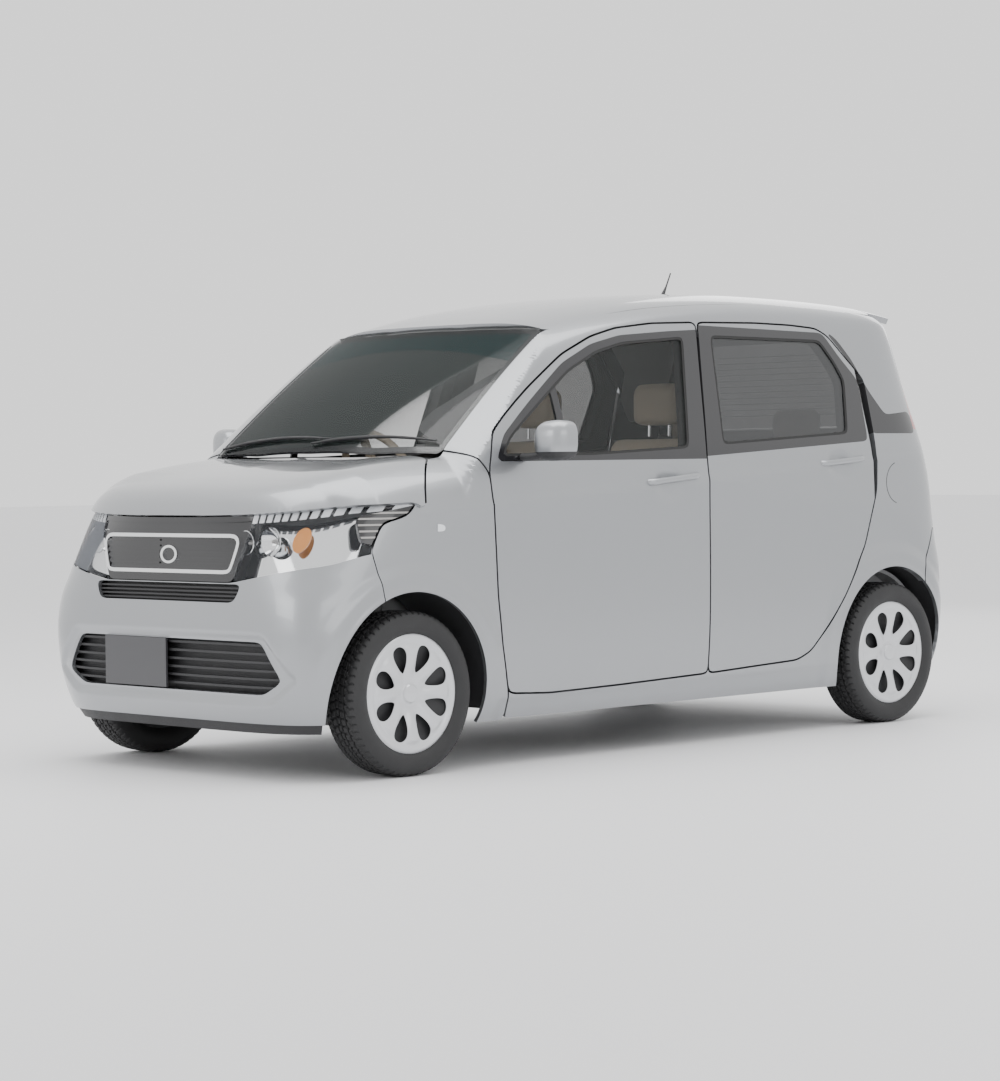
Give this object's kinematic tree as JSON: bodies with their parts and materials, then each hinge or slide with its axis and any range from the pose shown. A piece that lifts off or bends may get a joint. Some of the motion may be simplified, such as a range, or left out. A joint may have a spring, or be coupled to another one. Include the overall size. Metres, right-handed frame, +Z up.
{
  "type": "small five-door hatchback car",
  "caption": "Small tall hatchback with hinged side doors, bonnet and tailgate, steered front wheels, a full cabin with seats, glazed windows and wheels that roll.",
  "frame": {"origin": "on the ground, midway between the foremost and rearmost points and on the centre line", "axes": "+X forward, +Y to the left, +Z up"},
  "size_m": [3.395, 1.85, 1.7525],
  "materials": {
    "body_paint": "metallic gloss",
    "structure": "satin",
    "running_gear": "rough",
    "exhaust_steel": "dull",
    "wheel_silver": "satin",
    "tyre_rubber": "matt",
    "black_plastic": "grained",
    "gloss_black": "gloss",
    "bumper_paint": "metallic gloss",
    "clear_glass": "clear",
    "dark_glass": "tinted",
    "lamp_clear": "clear",
    "lamp_red": "gloss",
    "trim": "grained",
    "beige_trim": "woven",
    "beige_rim": "satin"
  },
  "bodies": {
    "body": {"floor_pan": "structure", "front_body": "structure", "left_body_side": "body_paint", "right_body_side": "body_paint", "roof_panel": "body_paint", "front_wings": "body_paint", "front_bumper": "bumper_paint", "rear_bumper": "bumper_paint", "grille": "gloss_black", "headlamps": "lamp_clear", "tail_lamps": "lamp_red", "windscreen": "clear_glass", "front_plate": "black_plastic", "dashboard": "trim", "steering_column": "black_plastic", "front_seats": "beige_trim", "rear_seat": "beige_trim", "interior_mirror": "black_plastic", "wipers": "black_plastic", "aerial": "black_plastic", "engine": "running_gear", "radiator": "black_plastic", "exhaust": "exhaust_steel", "fuel_tank": "black_plastic", "front_suspension": "running_gear", "rear_axle": "running_gear"},
    "bonnet": {"bonnet": "body_paint"},
    "tailgate": {"tailgate": "body_paint", "tailgate_glass": "dark_glass", "rear_wiper": "black_plastic"},
    "left_front_door": {"left_front_door": "body_paint", "left_front_glass": "clear_glass", "left_mirror": "bumper_paint"},
    "right_front_door": {"right_front_door": "body_paint", "right_front_glass": "clear_glass", "right_mirror": "bumper_paint"},
    "left_rear_door": {"left_rear_door": "body_paint", "left_rear_glass": "dark_glass"},
    "right_rear_door": {"right_rear_door": "body_paint", "right_rear_glass": "dark_glass"},
    "steering_wheel": {"steering_wheel": "beige_rim"},
    "left_knuckle": {"left_knuckle": "running_gear"},
    "right_knuckle": {"right_knuckle": "running_gear"},
    "left_front_wheel": {"left_front_wheel": "wheel_silver", "left_front_tyre": "tyre_rubber"},
    "left_rear_wheel": {"left_rear_wheel": "wheel_silver", "left_rear_tyre": "tyre_rubber"},
    "right_front_wheel": {"right_front_wheel": "wheel_silver", "right_front_tyre": "tyre_rubber"},
    "right_rear_wheel": {"right_rear_wheel": "wheel_silver", "right_rear_tyre": "tyre_rubber"}
  },
  "joints": [
    {"name": "left_steer", "type": "hinge", "parent": "body", "child": "left_knuckle", "pos_m": [1.2475, 0.622, 0.178], "axis": [0, -0.129, 0.9916], "range_deg": [-35, 35]},
    {"name": "right_steer", "type": "hinge", "parent": "body", "child": "right_knuckle", "pos_m": [1.2475, -0.622, 0.178], "axis": [0, 0.129, 0.9916], "range_deg": [-35, 35]},
    {"name": "steering_wheel_turn", "type": "hinge", "parent": "body", "child": "steering_wheel", "pos_m": [0.42, -0.33, 0.985], "axis": [-0.8829, 0, 0.4695], "range_deg": [-525, 525]},
    {"name": "left_front_spin", "type": "hinge", "parent": "left_knuckle", "child": "left_front_wheel", "pos_m": [1.2475, 0.6525, 0.27], "axis": [0, 1, 0], "continuous": true},
    {"name": "left_rear_spin", "type": "hinge", "parent": "body", "child": "left_rear_wheel", "pos_m": [-1.2725, 0.6525, 0.27], "axis": [0, 1, 0], "continuous": true},
    {"name": "left_front_door_hinge", "type": "hinge", "parent": "body", "child": "left_front_door", "pos_m": [0.895, 0.738, 0.7], "axis": [0, 0, -1], "range_deg": [0, 70]},
    {"name": "left_rear_door_hinge", "type": "hinge", "parent": "body", "child": "left_rear_door", "pos_m": [-0.205, 0.738, 0.7], "axis": [0, 0, -1], "range_deg": [0, 80]},
    {"name": "right_front_spin", "type": "hinge", "parent": "right_knuckle", "child": "right_front_wheel", "pos_m": [1.2475, -0.6525, 0.27], "axis": [0, 1, 0], "continuous": true},
    {"name": "right_rear_spin", "type": "hinge", "parent": "body", "child": "right_rear_wheel", "pos_m": [-1.2725, -0.6525, 0.27], "axis": [0, 1, 0], "continuous": true},
    {"name": "right_front_door_hinge", "type": "hinge", "parent": "body", "child": "right_front_door", "pos_m": [0.895, -0.738, 0.7], "axis": [0, 0, 1], "range_deg": [0, 70]},
    {"name": "right_rear_door_hinge", "type": "hinge", "parent": "body", "child": "right_rear_door", "pos_m": [-0.205, -0.738, 0.7], "axis": [0, 0, 1], "range_deg": [0, 80]},
    {"name": "bonnet_hinge", "type": "hinge", "parent": "body", "child": "bonnet", "pos_m": [1.064, 0, 1.046], "axis": [0, -1, 0], "range_deg": [0, 50]},
    {"name": "tailgate_hinge", "type": "hinge", "parent": "body", "child": "tailgate", "pos_m": [-1.389, 0, 1.64], "axis": [0, 1, 0], "range_deg": [0, 80]}
  ],
  "couplings": [
    {"joint": "right_steer", "follows": "left_steer", "ratio": 1},
    {"joint": "steering_wheel_turn", "follows": "left_steer", "ratio": 15}
  ]
}
